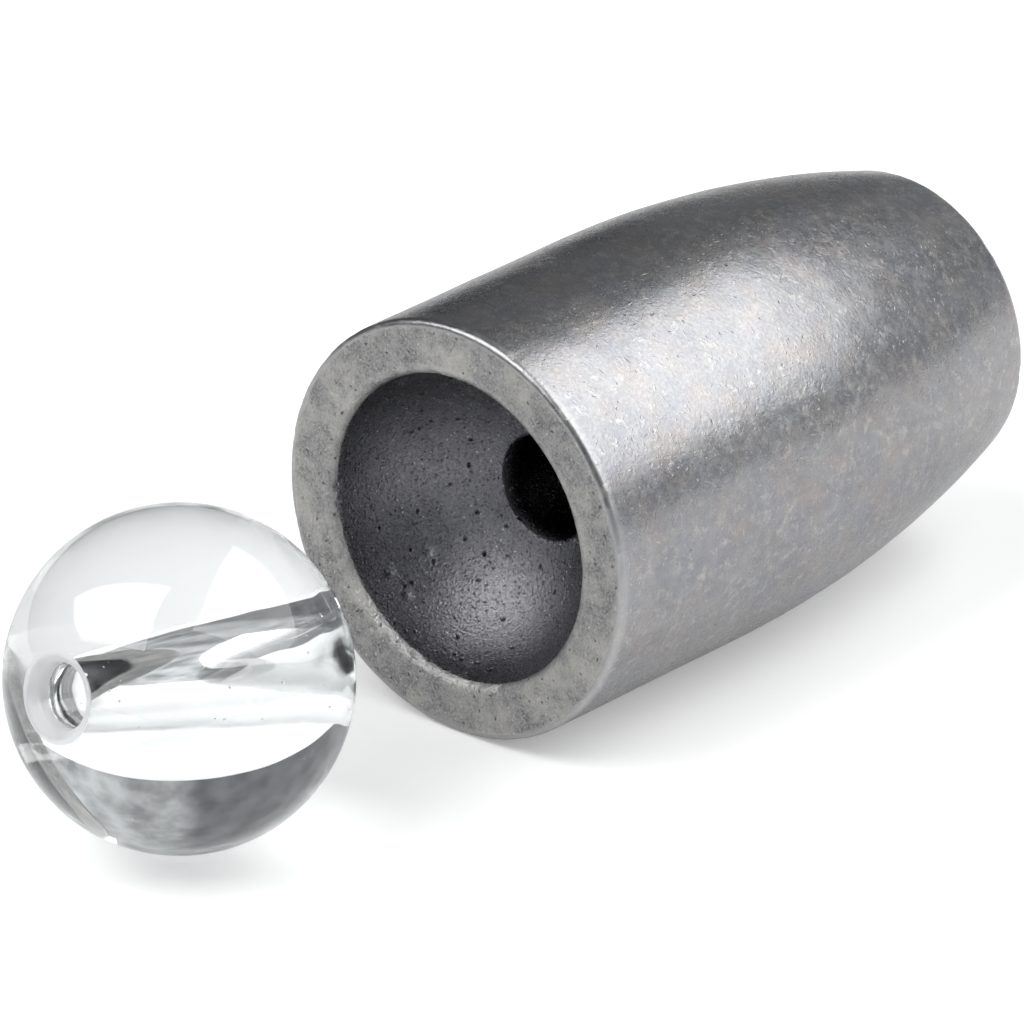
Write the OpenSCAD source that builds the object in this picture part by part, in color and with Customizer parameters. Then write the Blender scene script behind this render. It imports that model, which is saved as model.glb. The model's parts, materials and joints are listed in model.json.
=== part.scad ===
// Bullet-shaped slip sinker with a cupped base, lying on its side, and the loose glass bead
// that seats in the cup. X runs along the sinker's axis towards the nose and Z points up.
// The origin is on the surface that both pieces lie on, under the middle of their joint length.

/* [Bead] */
// Diameter of the glass bead
bead_d = 10; // [8:0.5:12]
// Diameter of the hole through the bead
bead_hole_d = 1.9; // [1:0.1:3]
// Diameter of the countersink where the hole breaks out of the ball, at both ends
bead_mouth_d = 2.4; // [2:0.1:4]

/* [Cup in the base] */
// How much smaller the cup's mouth radius is than the bead's, so that the bead stays proud
bead_overhang = 0.3; // [0.1:0.05:0.8]
// Depth of the cup below the rim face, to the pole of its ball-shaped floor
cup_depth = 4.25; // [3:0.05:4.6]
// Edge radius where the cup breaks out of the rim face
mouth_round = 0.35; // [0.1:0.05:0.6]
// Clearance between the seated bead and the rounded mouth
seat_gap = 0.1; // [0.05:0.05:0.3]

/* [Sinker body] */
// Wall between the cup's mouth and the outside of the barrel
rim_wall = 1.65; // [1.2:0.05:3]
// Length from the rim face to the nose face
body_l = 20.3; // [16:0.1:30]
// Straight length of the barrel, from the rim face to the start of the taper
barrel_l = 8.4; // [2:0.1:12]
// Diameter at which the curved taper would meet the nose face
nose_d = 9.1; // [6:0.1:10]
// Edge radius around the nose face
nose_round = 0.5; // [0.2:0.05:1]
// Edge radius around the outside of the rim face
rim_round = 0.2; // [0.1:0.05:0.5]

/* [Line hole] */
// Diameter of the hole that the line runs through
line_hole_d = 3.2; // [2:0.1:4]
// Edge radius where the line hole leaves the nose face
line_hole_round = 0.3; // [0.1:0.05:0.6]

/* [Bead at rest] */
// Clear distance between the rim face and the bead, along the sinker's axis
bead_gap = 5.35; // [2:0.05:20]
// How far the bead lies to the side of the sinker's axis
bead_aside = 1.2; // [0:0.1:5]
// Direction of the bead's hole, turned around Z from the sinker's nose
bead_turn = 176; // [0:1:360]
// Rise of the bead's hole above the level
bead_tip = 12; // [0:1:45]
// Share of its way from the table into the cup that the bead has moved
bead_travel_share = 0; // [0:0.05:1]

/* [Hidden] */

// Cuts run past the faces that they open
overrun = 1;
turned_sides = 144;
outline_sides = 288;

bead_r = bead_d / 2;
bead_hole_r = bead_hole_d / 2;
line_hole_r = line_hole_d / 2;

// The cup is part of a ball through its mouth circle and its lowest point
cup_mouth_r = bead_r - bead_overhang;
cup_ball_r = (cup_mouth_r * cup_mouth_r + cup_depth * cup_depth) / (2 * cup_depth);
cup_ball_l = cup_depth - cup_ball_r;

// The mouth's edge round touches the rim face and the ball
mouth_round_r = sqrt(pow(cup_ball_r + mouth_round, 2) - pow(mouth_round - cup_ball_l, 2));
mouth_tangent_l = mouth_round - mouth_round * (mouth_round - cup_ball_l) / (cup_ball_r + mouth_round);

// The taper is one arc that leaves the barrel without a corner
body_r = cup_mouth_r + rim_wall;
taper_l = body_l - barrel_l;
taper_drop = body_r - nose_d / 2;
ogive_r = (taper_l * taper_l + taper_drop * taper_drop) / (2 * taper_drop);
ogive_centre_r = body_r - ogive_r;

// The nose's edge round touches the nose face and the taper
nose_round_l = body_l - nose_round;
nose_reach = nose_round_l - barrel_l;
nose_round_r = ogive_centre_r + sqrt(pow(ogive_r - nose_round, 2) - nose_reach * nose_reach);
nose_tangent_l = barrel_l + nose_reach * ogive_r / (ogive_r - nose_round);

// The countersinks of the bead's hole slope at 45 degrees from the ball down to the hole
bead_mouth_r = bead_mouth_d / 2;
bead_mouth_l = sqrt(bead_r * bead_r - bead_mouth_r * bead_mouth_r);
bead_sink = bead_mouth_r - bead_hole_r;

// Where the bead's centre is on the table and in its seat, from the centre of the rim face
bead_on_table = [-bead_gap - bead_r, bead_aside, bead_r - body_r];
seat_reach = sqrt(pow(bead_r + seat_gap + mouth_round, 2) - mouth_round_r * mouth_round_r);
bead_in_cup = [mouth_round - seat_reach, 0, 0];
bead_at = bead_on_table + bead_travel_share * (bead_in_cup - bead_on_table);

// The rim face lies this far from the middle of the overall length
rim_x = (bead_gap + bead_d - body_l) / 2;

// Half outline of the solid body, with its radius along X and its length along Y
module body_outline() {
    square([body_r - rim_round, barrel_l]);
    translate([0, rim_round]) square([body_r, barrel_l - rim_round]);
    translate([body_r - rim_round, rim_round]) circle(rim_round, $fn = turned_sides);
    intersection() {
        translate([ogive_centre_r, barrel_l]) circle(ogive_r, $fn = outline_sides);
        translate([0, barrel_l]) square([body_r, nose_tangent_l - barrel_l]);
    }
    square([nose_round_r, body_l]);
    translate([nose_round_r, nose_round_l]) circle(nose_round, $fn = turned_sides);
}

// Outline of the cup, its rounded mouth and the line hole with its rounded exit
module hollow_outline() {
    translate([0, cup_ball_l]) circle(cup_ball_r, $fn = outline_sides);
    difference() {
        translate([0, -overrun]) square([mouth_round_r, mouth_tangent_l + overrun]);
        translate([mouth_round_r, mouth_round]) circle(mouth_round, $fn = turned_sides);
    }
    square([line_hole_r, body_l + overrun]);
    difference() {
        translate([0, body_l - line_hole_round])
            square([line_hole_r + line_hole_round, line_hole_round + overrun]);
        translate([line_hole_r + line_hole_round, body_l - line_hole_round])
            circle(line_hole_round, $fn = turned_sides);
    }
}

// Half outline of the bead: a ball with a hole along Y, countersunk at both ends
module bead_outline() {
    difference() {
        circle(bead_r, $fn = outline_sides);
        translate([-bead_r, -bead_r]) square([bead_r + bead_hole_r, bead_d]);
        for (end = [-1, 1])
            polygon([
                [bead_hole_r - overrun, end * (bead_mouth_l - bead_sink - overrun)],
                [bead_mouth_r + overrun, end * (bead_mouth_l + overrun)],
                [bead_hole_r - overrun, end * (bead_mouth_l + overrun)]
            ]);
    }
}

// Moves what is built around the centre of the rim face to its place on the table
module from_rim() {
    translate([rim_x, 0, body_r]) children();
}

module sinker_body() {
    color("#8e8f92")
        from_rim() rotate([0, 90, 0]) rotate_extrude($fn = turned_sides)
            difference() {
                body_outline();
                hollow_outline();
            }
}

module glass_bead() {
    color("#dde6ea", 0.5)
        from_rim() translate(bead_at) rotate([0, 90 - bead_tip, bead_turn])
            rotate_extrude($fn = turned_sides) bead_outline();
}

sinker_body();
glass_bead();
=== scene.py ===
import json
import math

import bpy
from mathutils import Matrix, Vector


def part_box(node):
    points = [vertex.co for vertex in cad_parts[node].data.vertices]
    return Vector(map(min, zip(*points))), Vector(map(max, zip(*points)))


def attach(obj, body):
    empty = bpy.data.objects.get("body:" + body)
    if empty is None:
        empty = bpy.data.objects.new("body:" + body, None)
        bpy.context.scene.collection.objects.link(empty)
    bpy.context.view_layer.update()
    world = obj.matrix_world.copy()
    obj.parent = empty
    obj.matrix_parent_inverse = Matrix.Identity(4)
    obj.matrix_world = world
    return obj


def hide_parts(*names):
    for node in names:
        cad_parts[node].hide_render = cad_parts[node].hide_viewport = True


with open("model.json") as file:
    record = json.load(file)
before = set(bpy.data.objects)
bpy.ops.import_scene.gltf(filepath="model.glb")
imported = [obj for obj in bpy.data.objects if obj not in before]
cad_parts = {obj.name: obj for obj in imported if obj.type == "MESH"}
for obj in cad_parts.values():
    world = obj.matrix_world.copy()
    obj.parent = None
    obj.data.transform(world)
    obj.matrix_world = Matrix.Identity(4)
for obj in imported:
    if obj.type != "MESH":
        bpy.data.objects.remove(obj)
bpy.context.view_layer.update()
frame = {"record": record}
bpy.context.scene.view_settings.view_transform = "Standard"
mm = 0.001


def linearColour(hexColour):
    channels = [int(hexColour[i:i + 2], 16) / 255 for i in (1, 3, 5)]
    return [c / 12.92 if c <= 0.04045 else ((c + 0.055) / 1.055) ** 2.4 for c in channels] + [1.0]


def fillNode(tree, node, values):
    # values: settings by name, and inputs by name or number, each a value or the output that feeds it
    for name, value in values.items():
        if isinstance(name, str) and hasattr(node, name):
            setattr(node, name, value)
        elif isinstance(value, bpy.types.NodeSocket):
            tree.links.new(value, node.inputs[name])
        else:
            node.inputs[name].default_value = value
    return node


def addNode(tree, kind, values=None):
    return fillNode(tree, tree.nodes.new(kind), values or {})


def sumOf(tree, products):
    # adds up the products, each given by its factors, which are outputs or numbers
    whole = 0
    for first, *others in products:
        for factor in others:
            first = addNode(tree, "ShaderNodeMath", {
                "operation": "MULTIPLY", 0: first, 1: factor}).outputs[0]
        whole = addNode(tree, "ShaderNodeMath", {
            "operation": "ADD", 0: first, 1: whole}).outputs[0]
    return whole


def mountAt(name):
    mount = next(m for m in frame["record"]["mounts"] if m["name"] == name)
    return Vector(mount["pos_m"]), Vector(mount["axis"])


# Studio: the camera, the lights and the pale floor
camera = {
    "aim": (-1.203, -1.108, 6.859),  # mm, the middle of the picture
    "turn": 41.05,  # degrees from +X towards +Y that the camera looks
    "drop": 24.5,  # degrees below the level
    "distance": 381.0,  # mm
    "lens": 468.4,  # mm, its focal length
    "sensor": 36.0,  # mm, the width of the picture behind the lens
}


def placeCamera(sizes):
    data = bpy.data.cameras.new("camera")
    data.lens, data.sensor_width = sizes["lens"], sizes["sensor"]
    data.clip_start, data.clip_end = 0.01, 10
    turn, drop = math.radians(sizes["turn"]), math.radians(sizes["drop"])
    look = Vector((math.cos(drop) * math.cos(turn), math.cos(drop) * math.sin(turn), -math.sin(drop)))
    holder = bpy.data.objects.new("camera", data)
    holder.location = (Vector(sizes["aim"]) - look * sizes["distance"]) * mm
    holder.rotation_euler = look.to_track_quat("-Z", "Y").to_euler()
    bpy.context.scene.collection.objects.link(holder)
    bpy.context.scene.camera = holder


placeCamera(camera)
print("camera placed")

studio = {
    "roomDark": 0.09,  # brightness of the room's unlit side, where 1 is white
    "roomGrey": 0.5,  # brightness of its other side, at the right
    "roomBack": 0.55,  # share of the brightness that is left behind the object
    "roomMottle": 7.0,  # patches of uneven brightness, counted across the room
    "roomUneven": 0.4,  # how far they leave the mean, as a share of it
    "splitTurn": 45.0,  # degrees from +X where the dark side begins
    "splitBlur": 0.05,  # how gradually it begins, as a sine
    "roomInGlass": 1.45,  # brightness of the room through glass, as a share of what metal reflects
    "darkInGlass": 0.8,  # share of its dark side that stays dark there
    "floorSize": 400,  # mm
    "floorLift": 0.27,  # light added to the floor as the camera sees it
    "floorInGlass": 0.75,  # share of that light that shows through glass
    "floorInMetal": 0.19,  # share of it that metal reflects
    "boxHeight": 300,  # mm above the floor, both facing down
    "softboxes": {
        # centre, width and length as shares of the height, turn in degrees, brightness where 1 is white
        "rightBox": {"centre": (1.0, -1.3), "width": 1.65, "length": 2.7, "turn": 30, "brightness": 2.35},
        "leftBox": {"centre": (-0.85, 0.65), "width": 1.05, "length": 1.6, "turn": 15, "brightness": 3.4},
    },
}


def addSoftbox(name, height, box):
    data = bpy.data.lights.new(name, "AREA")
    data.shape, data.size, data.size_y = "RECTANGLE", box["width"] * height, box["length"] * height
    data.energy = box["brightness"] * math.pi * data.size * data.size_y
    lamp = bpy.data.objects.new(name, data)
    lamp.location = (box["centre"][0] * height, box["centre"][1] * height, height)
    lamp.rotation_euler.z = math.radians(box["turn"])
    bpy.context.scene.collection.objects.link(lamp)


def makeWorld(sizes):
    # the camera sees white; metal and glass also see the dim room above the table's edge
    world = bpy.data.worlds.new("studio room")
    world.use_nodes = True
    tree = world.node_tree
    tree.nodes.clear()
    ray = addNode(tree, "ShaderNodeLightPath").outputs
    place = addNode(tree, "ShaderNodeTexCoord").outputs["Generated"]
    split = math.radians(sizes["splitTurn"])
    side = addNode(tree, "ShaderNodeVectorMath", {
        "operation": "DOT_PRODUCT", 0: place, 1: (-math.sin(split), math.cos(split), 0)}).outputs["Value"]
    darkSide = addNode(tree, "ShaderNodeMapRange", {
        "Value": side, "From Min": -sizes["splitBlur"], "From Max": sizes["splitBlur"]}).outputs["Result"]
    throughGlass = ray["Is Transmission Ray"]
    darkKept = sumOf(tree, [(1.0,), (throughGlass, sizes["darkInGlass"] - 1)])
    raised = sumOf(tree, [(1.0,), (throughGlass, sizes["roomInGlass"] - 1)])
    noise = addNode(tree, "ShaderNodeTexNoise", {
        "Vector": place, "Scale": sizes["roomMottle"], "Detail": 4.0})
    # the noise stays mostly within 0.35 to 0.65
    uneven = addNode(tree, "ShaderNodeMapRange", {
        "Value": noise.outputs[0], "From Min": 0.35, "From Max": 0.65,
        "To Min": 1 - sizes["roomUneven"], "To Max": 1 + sizes["roomUneven"]}).outputs["Result"]
    # the room dims from its right side, -1, to behind the object
    slope = addNode(tree, "ShaderNodeMapRange", {
        "Value": side, "From Min": -1.0, "From Max": -0.2,
        "To Min": 1.0, "To Max": sizes["roomBack"]}).outputs["Result"]
    wall = addNode(tree, "ShaderNodeMix", {
        "data_type": "RGBA", 0: sumOf(tree, [(darkSide, darkKept)]),
        6: [c * sizes["roomGrey"] for c in linearColour("#f3f6f8")],
        7: [c * sizes["roomDark"] for c in linearColour("#e8eefc")]}).outputs[2]
    room = addNode(tree, "ShaderNodeBackground", {
        "Color": wall, "Strength": sumOf(tree, [(uneven, slope, raised)])})
    white = addNode(tree, "ShaderNodeBackground", {"Color": linearColour("#ffffff"), "Strength": 1.0})
    shown = addNode(tree, "ShaderNodeMixShader", {
        0: ray["Is Camera Ray"], 1: room.outputs[0], 2: white.outputs[0]})
    addNode(tree, "ShaderNodeOutputWorld", {"Surface": shown.outputs[0]})
    bpy.context.scene.world = world


def paleFloor(sizes):
    # matt white paper; the added light takes it up to white around the object and leaves the shadow
    material = bpy.data.materials.new("matt white paper")
    material.use_nodes = True
    tree = material.node_tree
    tree.nodes.clear()
    ray = addNode(tree, "ShaderNodeLightPath").outputs
    shown = sumOf(tree, [(ray["Is Camera Ray"], 1.0), (ray["Is Glossy Ray"], sizes["floorInMetal"]),
                         (ray["Is Transmission Ray"], sizes["floorInGlass"])])
    paper = addNode(tree, "ShaderNodeBsdfDiffuse", {"Color": linearColour("#f2f2f2")})
    glow = addNode(tree, "ShaderNodeEmission", {
        "Color": linearColour("#ffffff"), "Strength": sumOf(tree, [(shown, sizes["floorLift"])])})
    both = addNode(tree, "ShaderNodeAddShader", {0: paper.outputs[0], 1: glow.outputs[0]})
    addNode(tree, "ShaderNodeOutputMaterial", {"Surface": both.outputs[0]})
    bpy.ops.mesh.primitive_plane_add(size=sizes["floorSize"] * mm)
    floor = bpy.context.object
    floor.name = "floor"
    floor.data.materials.append(material)


for name, box in studio["softboxes"].items():
    addSoftbox(name, studio["boxHeight"] * mm, box)
makeWorld(studio)
paleFloor(studio)
print("studio lit")


# Outlines: sections of points as (length along the axis, radius) in mm, each with its finish and
# how worn it is from 0 to 1
def arcPoints(centre, radius, start, end, spacing):
    steps = max(2, round(abs(math.radians(end - start)) * radius / spacing))
    angles = [math.radians(start + (end - start) * i / steps) for i in range(steps + 1)]
    return [(centre[0] + radius * math.cos(a), centre[1] + radius * math.sin(a)) for a in angles]


def linePoints(start, end, spacing):
    # without the ends, which belong to the sections on both sides
    steps = max(1, round(math.dist(start, end) / spacing))
    return [tuple(a + (b - a) * i / steps for a, b in zip(start, end)) for i in range(1, steps)]


def wornCorner(before, corner, after, setBack, steps=6):
    # a soft edge that leaves both lines of the corner at the same distance from it
    corner = Vector(corner)
    ends = [corner + (Vector(end) - corner).normalized() * setBack for end in (before, after)]
    shares = [i / steps for i in range(steps + 1)]
    return [tuple(ends[0] * (1 - t) ** 2 + corner * 2 * t * (1 - t) + ends[1] * t ** 2) for t in shares]


def outlineCurve(name, sections):
    points = [(along, radius, finish, worn)
              for section, finish, worn in sections for along, radius in section]
    points.reverse()
    mesh = bpy.data.meshes.new(name)
    count = len(points)
    mesh.from_pydata([(radius * mm, -along * mm, 0) for along, radius, finish, worn in points],
                     [(i, (i + 1) % count) for i in range(count)], [])
    mesh.attributes.new("finish", "INT", "POINT").data.foreach_set("value", [p[2] for p in points])
    mesh.attributes.new("worn", "FLOAT", "POINT").data.foreach_set("value", [p[3] for p in points])
    return mesh


def turnedTree(name, finishes):
    # sweeps the outline round a circle too small to matter, dents it and turns it onto its axis
    tree = bpy.data.node_groups.new(name, "GeometryNodeTree")
    kinds = {
        "Outline": "Geometry", "Steps": "Int", "Start": "Vector", "Axis": "Vector",
        "Wave Depth": "Float", "Wave Size": "Float", "Nick Depth": "Float", "Nick Size": "Float",
        "Pit Depth": "Float", "Pit Size": "Float", "Pits per Area": "Float", "Seed": "Int",
        **{label: "Material" for label in finishes}}
    for label, kind in kinds.items():
        tree.interface.new_socket(label, in_out="INPUT", socket_type="NodeSocket" + kind)
    tree.interface.new_socket("Solid", in_out="OUTPUT", socket_type="NodeSocketGeometry")
    given = addNode(tree, "NodeGroupInput").outputs

    outline = addNode(tree, "GeometryNodeMeshToCurve", {"Mesh": given["Outline"]}).outputs["Curve"]
    path = addNode(tree, "GeometryNodeCurvePrimitiveCircle", {"Radius": 1e-9, "Resolution": given["Steps"]})
    swept = addNode(tree, "GeometryNodeCurveToMesh", {
        "Curve": path.outputs["Curve"], "Profile Curve": outline}).outputs["Mesh"]
    finish = addNode(tree, "GeometryNodeInputNamedAttribute", {
        "data_type": "INT", "Name": "finish"}).outputs["Attribute"]
    worn = addNode(tree, "GeometryNodeInputNamedAttribute", {
        "data_type": "FLOAT", "Name": "worn"}).outputs["Attribute"]
    place = addNode(tree, "GeometryNodeInputPosition").outputs[0]
    outward = addNode(tree, "GeometryNodeInputNormal").outputs["Normal"]

    def unevenness(size, low, high, shift):
        # 0 to 1 over the surface, at the size given, where the noise goes from low to high
        scale = addNode(tree, "ShaderNodeMath", {"operation": "DIVIDE", 0: 1.0, 1: size})
        seed = addNode(tree, "ShaderNodeMath", {"operation": "ADD", 0: given["Seed"], 1: shift})
        noise = addNode(tree, "ShaderNodeTexNoise", {
            "noise_dimensions": "4D", "Vector": place, "Detail": 1.0,
            "Scale": scale.outputs[0], "W": seed.outputs[0]})
        return addNode(tree, "ShaderNodeMapRange", {
            "interpolation_type": "SMOOTHSTEP", "Value": noise.outputs[0],
            "From Min": low, "From Max": high}).outputs["Result"]

    wave = unevenness(given["Wave Size"], low=0.25, high=0.75, shift=0.3)
    nick = unevenness(given["Nick Size"], low=0.5, high=0.72, shift=7.3)
    pitted = unevenness(given["Wave Size"], low=0.45, high=0.6, shift=3.1)

    # pits are hollows around random points, on all finishes but the first, with a ragged edge
    inner = addNode(tree, "ShaderNodeMath", {"operation": "GREATER_THAN", 0: finish, 1: 0.5})
    spots = addNode(tree, "GeometryNodeDistributePointsOnFaces", {
        "Mesh": swept, "Density": given["Pits per Area"], "Seed": given["Seed"],
        "Selection": inner.outputs[0]})
    raggedness = 0.7  # waves of the ragged edge along the length of a pit's radius
    raggedScale = addNode(tree, "ShaderNodeMath", {
        "operation": "DIVIDE", 0: raggedness, 1: given["Pit Size"]})
    ragged = addNode(tree, "ShaderNodeTexNoise", {
        "Vector": place, "Detail": 1.0, "Scale": raggedScale.outputs[0]})
    astray = addNode(tree, "ShaderNodeVectorMath", {
        "operation": "SUBTRACT", 0: ragged.outputs["Color"], 1: (0.5, 0.5, 0.5)})
    strayed = addNode(tree, "ShaderNodeVectorMath", {
        "operation": "SCALE", 0: astray.outputs[0], "Scale": given["Pit Size"]})
    sample = addNode(tree, "ShaderNodeVectorMath", {"operation": "ADD", 0: place, 1: strayed.outputs[0]})
    nearest = addNode(tree, "GeometryNodeProximity", {
        "target_element": "POINTS", "Geometry": spots.outputs["Points"],
        "Sample Position": sample.outputs[0]})
    hollow = addNode(tree, "ShaderNodeMapRange", {
        "interpolation_type": "SMOOTHSTEP", "Value": nearest.outputs["Distance"],
        "From Min": 0, "From Max": given["Pit Size"], "To Min": 1, "To Max": 0}).outputs["Result"]

    depth = sumOf(tree, [(wave, given["Wave Depth"]), (nick, worn, given["Nick Depth"]),
                         (hollow, given["Pit Depth"], pitted)])
    inwards = addNode(tree, "ShaderNodeVectorMath", {
        "operation": "SCALE", 0: outward, "Scale": sumOf(tree, [(depth, -1.0)])})
    dented = addNode(tree, "GeometryNodeSetPosition", {"Geometry": swept, "Offset": inwards.outputs[0]})

    turn = addNode(tree, "FunctionNodeAlignRotationToVector", {"axis": "Z", "Vector": given["Axis"]})
    placed = addNode(tree, "GeometryNodeTransform", {
        "Geometry": dented.outputs[0], "Translation": given["Start"], "Rotation": turn.outputs[0]})
    smooth = addNode(tree, "GeometryNodeSetShadeSmooth", {"Geometry": placed.outputs[0]})
    painted = addNode(tree, "GeometryNodeRealizeInstances", {"Geometry": smooth.outputs[0]}).outputs[0]
    for number, label in enumerate(finishes):
        here = addNode(tree, "ShaderNodeMath", {"operation": "GREATER_THAN", 0: finish, 1: number - 0.5})
        painted = addNode(tree, "GeometryNodeSetMaterial", {
            "Geometry": painted, "Selection": here.outputs[0], "Material": given[label]}).outputs[0]
    addNode(tree, "NodeGroupOutput", {"Solid": painted})
    return tree


def turnedPiece(name, outline, inputs, finishes):
    piece = bpy.data.objects.new(name, outlineCurve(name, outline))
    bpy.context.scene.collection.objects.link(piece)
    modifier = piece.modifiers.new("turned", "NODES")
    modifier.node_group = turnedTree(name, list(finishes))
    inputs = {**inputs, **finishes}
    for item in modifier.node_group.interface.items_tree:
        if item.in_out == "INPUT" and item.name in inputs:
            modifier[item.identifier] = inputs[item.name]
    ready = piece.evaluated_get(bpy.context.evaluated_depsgraph_get())
    made = bpy.data.meshes.new_from_object(ready)
    piece.modifiers.remove(modifier)
    piece.data = made
    print(name, "has", len(made.polygons), "faces")
    return piece


# Finishes: heights and pattern sizes in mm, shares from 0 to 1
def mottle(tree, place, size, low, high, detail=2.0, shift=(0, 0, 0)):
    # soft patches of the size given, from 0 to 1 as the noise goes from low to high; shift, in
    # metres, keeps the patterns of one finish apart
    moved = addNode(tree, "ShaderNodeVectorMath", {"operation": "ADD", 0: place, 1: shift})
    noise = addNode(tree, "ShaderNodeTexNoise", {
        "Vector": moved.outputs[0], "Scale": 1 / (size * mm), "Detail": detail, "Roughness": 0.65})
    return addNode(tree, "ShaderNodeMapRange", {
        "Value": noise.outputs[0], "From Min": low, "From Max": high}).outputs["Result"]


def scattered(tree, place, spacing, length, width, share, shift=(0, 0, 0)):
    # separate marks, each in a random direction: 1 inside a mark and 0 outside; only a share of
    # the places has one
    turnRange = 40.0  # radians, many times round, so that every direction is as likely
    moved = addNode(tree, "ShaderNodeVectorMath", {"operation": "ADD", 0: place, 1: shift}).outputs[0]
    cells = addNode(tree, "ShaderNodeTexVoronoi", {"Vector": moved, "Scale": 1 / (spacing * mm)}).outputs
    fromMiddle = addNode(tree, "ShaderNodeVectorMath", {
        "operation": "SUBTRACT", 0: moved, 1: cells["Position"]})
    angles = addNode(tree, "ShaderNodeVectorMath", {
        "operation": "SCALE", 0: cells["Color"], "Scale": turnRange})
    turned = addNode(tree, "ShaderNodeVectorRotate", {
        "rotation_type": "EULER_XYZ", "Vector": fromMiddle.outputs[0], "Rotation": angles.outputs[0]})
    stretched = addNode(tree, "ShaderNodeVectorMath", {
        "operation": "MULTIPLY", 0: turned.outputs[0],
        1: (2 / (length * mm), 2 / (width * mm), 2 / (width * mm))})
    away = addNode(tree, "ShaderNodeVectorMath", {"operation": "LENGTH", 0: stretched.outputs[0]})
    inside = addNode(tree, "ShaderNodeMapRange", {
        "Value": away.outputs["Value"], "From Min": 1.0, "From Max": 0.4})
    chance = addNode(tree, "ShaderNodeSeparateColor", {"Color": cells["Color"]})
    chosen = addNode(tree, "ShaderNodeMath", {"operation": "LESS_THAN", 0: chance.outputs[2], 1: share})
    return sumOf(tree, [(inside.outputs["Result"], chosen.outputs[0])])


def layered(tree, ground, layers):
    # lays colours over the ground colour: each with where it lies and how strongly
    colour = linearColour(ground)
    for where, strength, hexColour in layers:
        colour = addNode(tree, "ShaderNodeMix", {
            "data_type": "RGBA", 0: sumOf(tree, [(where, strength)]), 6: colour,
            7: linearColour(hexColour)}).outputs[2]
    return colour


def newFinish(name):
    material = bpy.data.materials.new(name)
    material.use_nodes = True
    tree = material.node_tree
    return material, tree, addNode(tree, "ShaderNodeTexCoord").outputs["Object"]


def surfaced(material, values, heights):
    # gives the shader its inputs, and raises the surface by marks times their heights
    tree = material.node_tree
    bump = addNode(tree, "ShaderNodeBump", {
        "Distance": mm, "Strength": 1.0, "Height": sumOf(tree, heights)})
    fillNode(tree, tree.nodes["Principled BSDF"], {**values, "Normal": bump.outputs["Normal"]})
    return material


def tumbledSteel():
    # pressed steel tumbled with grit: satin, faintly stained, scattered with short dings that
    # catch the light
    material, tree, place = newFinish("tumbled steel")
    worn = addNode(tree, "ShaderNodeAttribute", {"attribute_name": "worn"}).outputs["Fac"]
    grain = mottle(tree, place, size=0.11, low=0.3, high=0.7)
    scuffs = mottle(tree, place, size=0.45, low=0.42, high=0.62, detail=5.0, shift=(0, 0.01, 0))
    warm = mottle(tree, place, size=1.5, low=0.46, high=0.6, detail=4.0, shift=(0.02, 0, 0))
    cool = mottle(tree, place, size=1.4, low=0.46, high=0.62, detail=4.0, shift=(0, 0, 0.05))
    pale = mottle(tree, place, size=2.6, low=0.45, high=0.6, detail=5.0, shift=(0.03, 0.03, 0))
    clusters = mottle(tree, place, size=1.1, low=0.38, high=0.56, shift=(0.01, 0, 0.03))
    small = mottle(tree, place, size=0.32, low=0.52, high=0.66, detail=5.0, shift=(0, 0.02, 0.01))
    flecks = sumOf(tree, [(small, clusters)])
    dings = scattered(tree, place, spacing=0.4, length=0.5, width=0.09, share=0.4)
    ticks = scattered(tree, place, spacing=0.24, length=0.36, width=0.07, share=0.6, shift=(0.01, 0.02, 0))
    # pits: small hollows in the bump, painted dark as their shade
    pits = scattered(tree, place, spacing=1.1, length=0.13, width=0.10, share=0.35, shift=(0, 0.03, 0.01))
    waves = mottle(tree, place, size=0.6, low=0.2, high=0.8, shift=(0, 0, 0.02))
    return surfaced(material, {
        "Base Color": layered(tree, "#949497", [
            (scuffs, 1.0, "#a0a0a1"), (warm, 0.2, "#b9a69a"), (cool, 0.18, "#8d96a8"),
            (pale, 0.2, "#bdbbb9"), (grain, 0.15, "#7b7b7e"), (flecks, 0.36, "#d6d3cf"),
            (ticks, 0.35, "#d4d1ce"), (worn, 0.6, "#c4c4c4"), (pits, 0.85, "#2c2b2d")]),
        "Metallic": 1.0,
        "Roughness": sumOf(tree, [(0.2,), (grain, 0.12), (scuffs, 0.05), (worn, 0.15)]),
    }, [(grain, 0.0022), (waves, 0.004), (flecks, 0.004), (dings, -0.007), (ticks, 0.004), (pits, -0.02)])


def pressedFace():
    # the punch's end mark on pressed powder steel: matt, granular, with open pores whose dark colour is
    # painted shade
    material, tree, place = newFinish("pressed steel face")
    worn = addNode(tree, "ShaderNodeAttribute", {"attribute_name": "worn"}).outputs["Fac"]
    grain = mottle(tree, place, size=0.08, low=0.32, high=0.68, detail=3.0)
    blotches = mottle(tree, place, size=0.5, low=0.4, high=0.62, detail=3.0, shift=(0, 0.02, 0))
    pale = mottle(tree, place, size=2.2, low=0.46, high=0.62, detail=3.0, shift=(0.007, 0.025, 0.015))
    # pores: small hollows in the bump, painted dark as their shade
    pores = scattered(tree, place, spacing=0.3, length=0.2, width=0.1, share=0.6)
    specks = scattered(tree, place, spacing=0.2, length=0.16, width=0.06, share=0.75, shift=(0.02, 0.01, 0))
    return surfaced(material, {
        "Base Color": layered(tree, "#6c6d70", [
            (grain, 1.0, "#b6b6b4"), (blotches, 0.5, "#c6c5c3"), (pale, 0.45, "#dcd9d2"),
            (specks, 0.75, "#dcdad4"), (worn, 0.35, "#cbcac8"), (pores, 0.7, "#3a393b")]),
        "Metallic": 1.0,
        "Roughness": sumOf(tree, [(0.5,), (worn, -0.26)]),
    }, [(grain, 0.014), (blotches, 0.02), (pores, -0.03), (specks, 0.008)])


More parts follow.
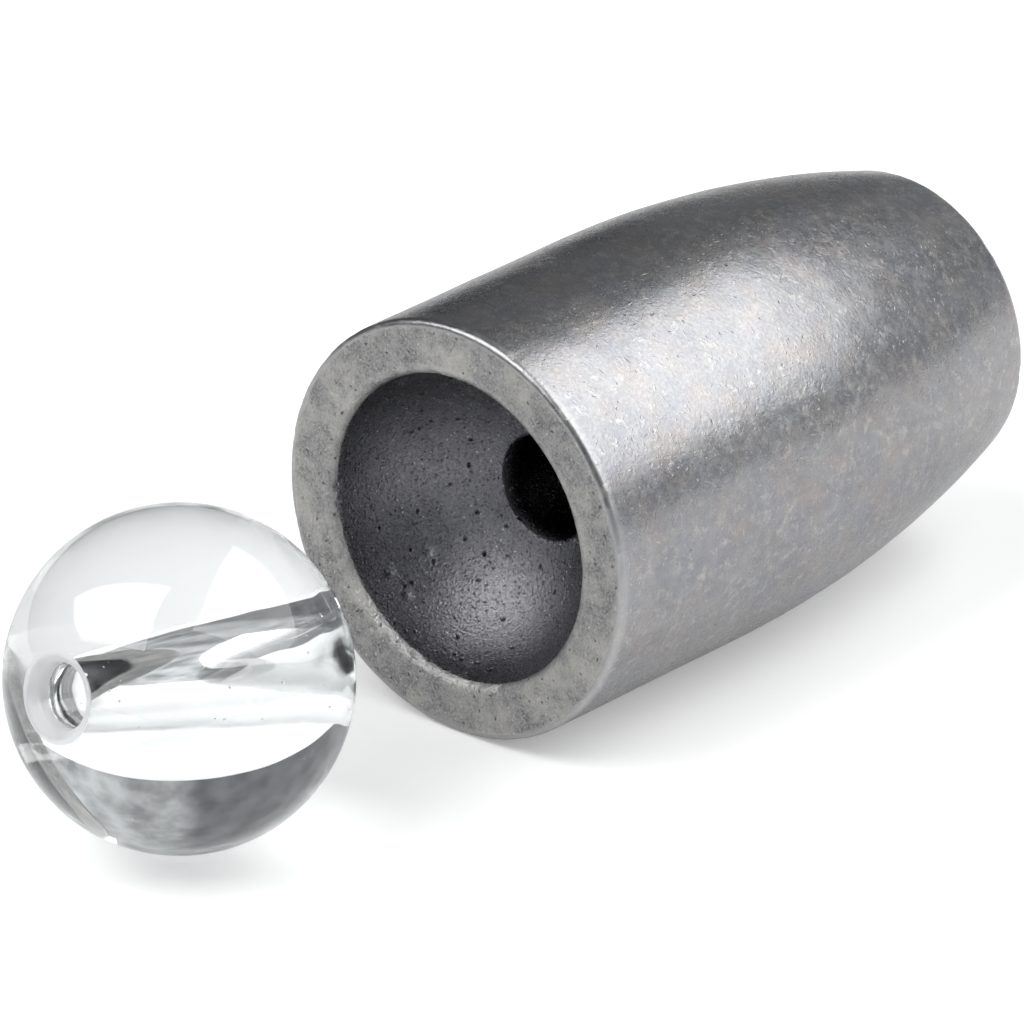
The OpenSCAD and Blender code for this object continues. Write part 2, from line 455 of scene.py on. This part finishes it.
def sinteredSteel(name, dark, light, poreShade):
    # never polished: dull dark steel with grains that glint and pores between them; the pores' colour is
    # painted shade, and the colours given for the hole are darker still as painted shade of the bore
    material, tree, place = newFinish(name)
    grain = mottle(tree, place, size=0.08, low=0.3, high=0.7, detail=3.0)
    patches = mottle(tree, place, size=1.8, low=0.4, high=0.6)
    pores = scattered(tree, place, spacing=0.36, length=0.24, width=0.14, share=0.4)
    fine = scattered(tree, place, spacing=0.17, length=0.14, width=0.07, share=0.75, shift=(0, 0.02, 0))
    glints = scattered(tree, place, spacing=0.18, length=0.10, width=0.06, share=0.6, shift=(0.02, 0.01, 0))
    return surfaced(material, {
        "Base Color": layered(tree, dark, [
            (grain, 1.0, light), (patches, 0.3, dark), (glints, 0.8, "#dcdee2"),
            # fine marks and pores take the pore colour: painted shade in their hollows
            (fine, 0.6, poreShade), (pores, 0.85, poreShade)]),
        "Metallic": 1.0,
        "Roughness": sumOf(tree, [(0.22,), (grain, 0.14)]),
    }, [(grain, 0.012), (pores, -0.03), (fine, -0.012), (glints, 0.008)])


def polishedGlass():
    # clear soda-lime glass, fire-polished: sharp reflections and a faint swell to the surface
    material, tree, place = newFinish("polished glass")
    scuffs = scattered(tree, place, spacing=0.8, length=0.25, width=0.05, share=0.5)
    swell = mottle(tree, place, size=1.8, low=0.2, high=0.8, detail=1.0)
    return surfaced(material, {
        "Base Color": linearColour("#fafcfc"),
        "Transmission Weight": 1.0,
        "IOR": 1.5,
        "Roughness": sumOf(tree, [(0.03,), (scuffs, 0.27)]),
    }, [(swell, 0.012), (scuffs, -0.004)])


def groundGlass():
    # the countersinks are ground and not polished: a white frost that still lets light through
    material, tree, place = newFinish("ground glass")
    frost = mottle(tree, place, size=0.08, low=0.3, high=0.7)
    return surfaced(material, {
        "Base Color": linearColour("#fafbfc"),
        "Transmission Weight": 0.35,
        "IOR": 1.5,
        "Roughness": sumOf(tree, [(0.4,), (frost, 0.15)]),
    }, [(frost, 0.001)])


def drawnGlass(axis):
    # the hole's wall: left as the wire drew it, with long soft streaks and a few seeds
    drawnOut = 0.93  # share of each length along the hole that the streaks don't see
    material, tree, place = newFinish("drawn glass wall")
    along = addNode(tree, "ShaderNodeVectorMath", {"operation": "PROJECT", 0: place, 1: tuple(axis)})
    shorter = addNode(tree, "ShaderNodeVectorMath", {
        "operation": "SCALE", 0: along.outputs[0], "Scale": -drawnOut})
    drawn = addNode(tree, "ShaderNodeVectorMath", {"operation": "ADD", 0: place, 1: shorter.outputs[0]})
    streaks = mottle(tree, drawn.outputs[0], size=0.5, low=0.3, high=0.7, detail=1.0)
    seeds = scattered(tree, place, spacing=0.35, length=0.11, width=0.08, share=0.6)
    return surfaced(material, {
        "Base Color": linearColour("#f6f8f8"),
        "Transmission Weight": 1.0,
        "IOR": 1.5,
        "Roughness": sumOf(tree, [(0.05,), (seeds, 0.55)]),
    }, [(streaks, 0.006), (seeds, -0.02)])


# Sinker: turned outline from the rim face (length 0) to the nose face
sinkerLow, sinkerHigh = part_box("sinker_body")
sinker = {
    "length": (sinkerHigh.x - sinkerLow.x) / mm,
    "radius": (sinkerHigh.z - sinkerLow.z) / 2 / mm,
    "barrel": 8.4,  # straight length before the taper
    "noseRadius": 4.55,  # where the taper would meet the nose face
    "noseRound": 0.5,
    "rimRound": 0.2,
    "cupRadius": 4.7,  # of the cup's mouth before its edge is rounded
    "cupDepth": 4.25,
    "mouthRound": 0.35,
    "holeRadius": 1.6,
    "holeRound": 0.3,
    "edgeWorn": 0.6,  # wear of the rim's and nose's edges, where 1 is worn bright
    "mouthWorn": 0.4,  # wear of the cup's mouth
    "steps": 360,
    "seed": 4,
    "waveDepth": 0.015,  # how far the pressed surface is out of true, always inwards
    "waveSize": 2.5,
    "nickDepth": 0.03,  # of the chips along the worn edges
    "nickSize": 0.5,
    "pitDepth": 0.09,  # of the large pores in the cup and the rim
    "pitSize": 0.17,  # radius
    "pitsPerArea": 0.6,  # per square mm
}


def sinkerOutline(s):
    length, radius, barrel = s["length"], s["radius"], s["barrel"]
    rimRound, noseRound, mouthRound = s["rimRound"], s["noseRound"], s["mouthRound"]
    taper, drop = length - barrel, radius - s["noseRadius"]
    taperRadius = (taper ** 2 + drop ** 2) / (2 * drop)
    noseReach = length - noseRound - barrel
    noseTurn = math.degrees(math.acos(noseReach / (taperRadius - noseRound)))
    noseSide = radius - taperRadius + math.sqrt((taperRadius - noseRound) ** 2 - noseReach ** 2)
    cupBall = (s["cupRadius"] ** 2 + s["cupDepth"] ** 2) / (2 * s["cupDepth"])
    cupCentre = s["cupDepth"] - cupBall
    mouthSide = math.sqrt((cupBall + mouthRound) ** 2 - (mouthRound - cupCentre) ** 2)
    mouthTurn = math.degrees(math.atan2(mouthSide, mouthRound - cupCentre))
    hole, holeRound = s["holeRadius"], s["holeRound"]
    holeTurn = math.degrees(math.asin(hole / cupBall))
    holeStart = cupCentre + math.sqrt(cupBall ** 2 - hole ** 2)
    outside, face, cup, line = 0, 1, 2, 3
    edgeWorn, mouthWorn = s["edgeWorn"], s["mouthWorn"]
    return [
        (arcPoints((rimRound, radius - rimRound), rimRound, 180, 90, spacing=0.06), outside, edgeWorn),
        (linePoints((rimRound, radius), (barrel, radius), spacing=0.18), outside, 0),
        (arcPoints((barrel, radius - taperRadius), taperRadius, 90, noseTurn, spacing=0.18), outside, 0),
        (arcPoints((length - noseRound, noseSide), noseRound, noseTurn, 0, spacing=0.08)[1:],
         outside, edgeWorn),
        (linePoints((length, noseSide), (length, hole + holeRound), spacing=0.18), face, 0),
        (arcPoints((length - holeRound, hole + holeRound), holeRound, 0, -90, spacing=0.06),
         face, edgeWorn),
        (linePoints((length - holeRound, hole), (holeStart, hole), spacing=0.8), line, 0),
        (arcPoints((cupCentre, 0), cupBall, holeTurn, mouthTurn, spacing=0.11), cup, 0),
        (arcPoints((mouthRound, mouthSide), mouthRound, mouthTurn + 180, 180, spacing=0.05)[1:],
         face, mouthWorn),
        (linePoints((0, mouthSide), (0, radius - rimRound), spacing=0.07), face, 0),
    ]


boreCentre, boreAxis = mountAt("line_bore")
sinkerPiece = turnedPiece("turnedSinker", sinkerOutline(sinker), {
    "Steps": sinker["steps"],
    "Start": (sinkerLow.x, boreCentre.y, boreCentre.z),
    "Axis": tuple(boreAxis),
    "Wave Depth": sinker["waveDepth"] * mm,
    "Wave Size": sinker["waveSize"] * mm,
    "Nick Depth": sinker["nickDepth"] * mm,
    "Nick Size": sinker["nickSize"] * mm,
    "Pit Depth": sinker["pitDepth"] * mm,
    "Pit Size": sinker["pitSize"] * mm,
    "Pits per Area": sinker["pitsPerArea"] / mm ** 2,
    "Seed": sinker["seed"],
}, {
    "Outside": tumbledSteel(),
    "Face": pressedFace(),
    # the last colour is painted shade for the cup's pores
    "Cup": sinteredSteel("sintered steel cup", "#626166", "#a3a3a6", "#1d1c1e"),
    # the hole's colours are darker than the cup's: painted shade deep inside the narrow bore
    "Hole": sinteredSteel("steel hole darkened as painted shade", "#4c4b4d", "#605f62", "#161517"),
})
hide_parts("sinker_body")
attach(sinkerPiece, "sinker")

# Bead: turned outline along its hole, with length 0 at its centre
beadLow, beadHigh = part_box("glass_bead")
bead = {
    "radius": (beadHigh.z - beadLow.z) / 2 / mm,
    "holeRadius": 0.95,
    "mouthRadius": 1.2,  # of the countersink where it leaves the ball
    "outerEdge": 0.08,  # how far the countersink's soft outer edge reaches to each side
    "innerEdge": 0.1,
    "groundLength": 0.45,  # how far the frosting runs into the hole from each end
    "steps": 256,
    "seed": 11,
    "waveDepth": 0.015,  # how far the glass is out of true, always inwards
    "waveSize": 3.0,
    "nickDepth": 0.015,  # of the chips around the countersinks
    "nickSize": 0.3,
}


def beadOutline(b):
    radius, hole, mouth, outer, inner = (
        b[key] for key in ("radius", "holeRadius", "mouthRadius", "outerEdge", "innerEdge"))
    mouthEnd = math.sqrt(radius ** 2 - mouth ** 2)
    wallEnd = mouthEnd - (mouth - hole)
    mouthTurn = math.degrees(math.asin(mouth / radius) + outer / radius)
    groundSpacing, wallSpacing = 0.15, 0.3
    ball, ground, wall = 0, 1, 2
    inside = wallEnd - inner - b["groundLength"]
    end = [
        (linePoints((-inside, hole), (inner - wallEnd, hole), groundSpacing), ground, 0),
        (wornCorner((0, hole), (-wallEnd, hole), (-mouthEnd, mouth), inner), ground, 1),
        (wornCorner((-wallEnd, hole), (-mouthEnd, mouth), (mouth - mouthEnd, mouth + mouthEnd), outer),
         ground, 1),
        (arcPoints((0, 0), radius, 180 - mouthTurn, 90, spacing=0.08)[1:-1], ball, 0),
    ]
    otherEnd = [([(-along, side) for along, side in reversed(points)], finish, worn)
                for points, finish, worn in reversed(end)]
    middle = linePoints((inside + groundSpacing, hole), (-inside - groundSpacing, hole), wallSpacing)
    return end + [([(0, radius)], ball, 0)] + otherEnd + [(middle, wall, 0)]


beadCentre, beadAxis = mountAt("bead_bore")
beadPiece = turnedPiece("glassBead", beadOutline(bead), {
    "Steps": bead["steps"],
    "Start": tuple(beadCentre),
    "Axis": tuple(beadAxis),
    "Wave Depth": bead["waveDepth"] * mm,
    "Wave Size": bead["waveSize"] * mm,
    "Nick Depth": bead["nickDepth"] * mm,
    "Nick Size": bead["nickSize"] * mm,
    "Pit Size": mm,
    "Seed": bead["seed"],
}, {"Ball": polishedGlass(), "Countersink": groundGlass(), "Wall": drawnGlass(beadAxis)})
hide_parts("glass_bead")
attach(beadPiece, "bead")
print("pieces made")
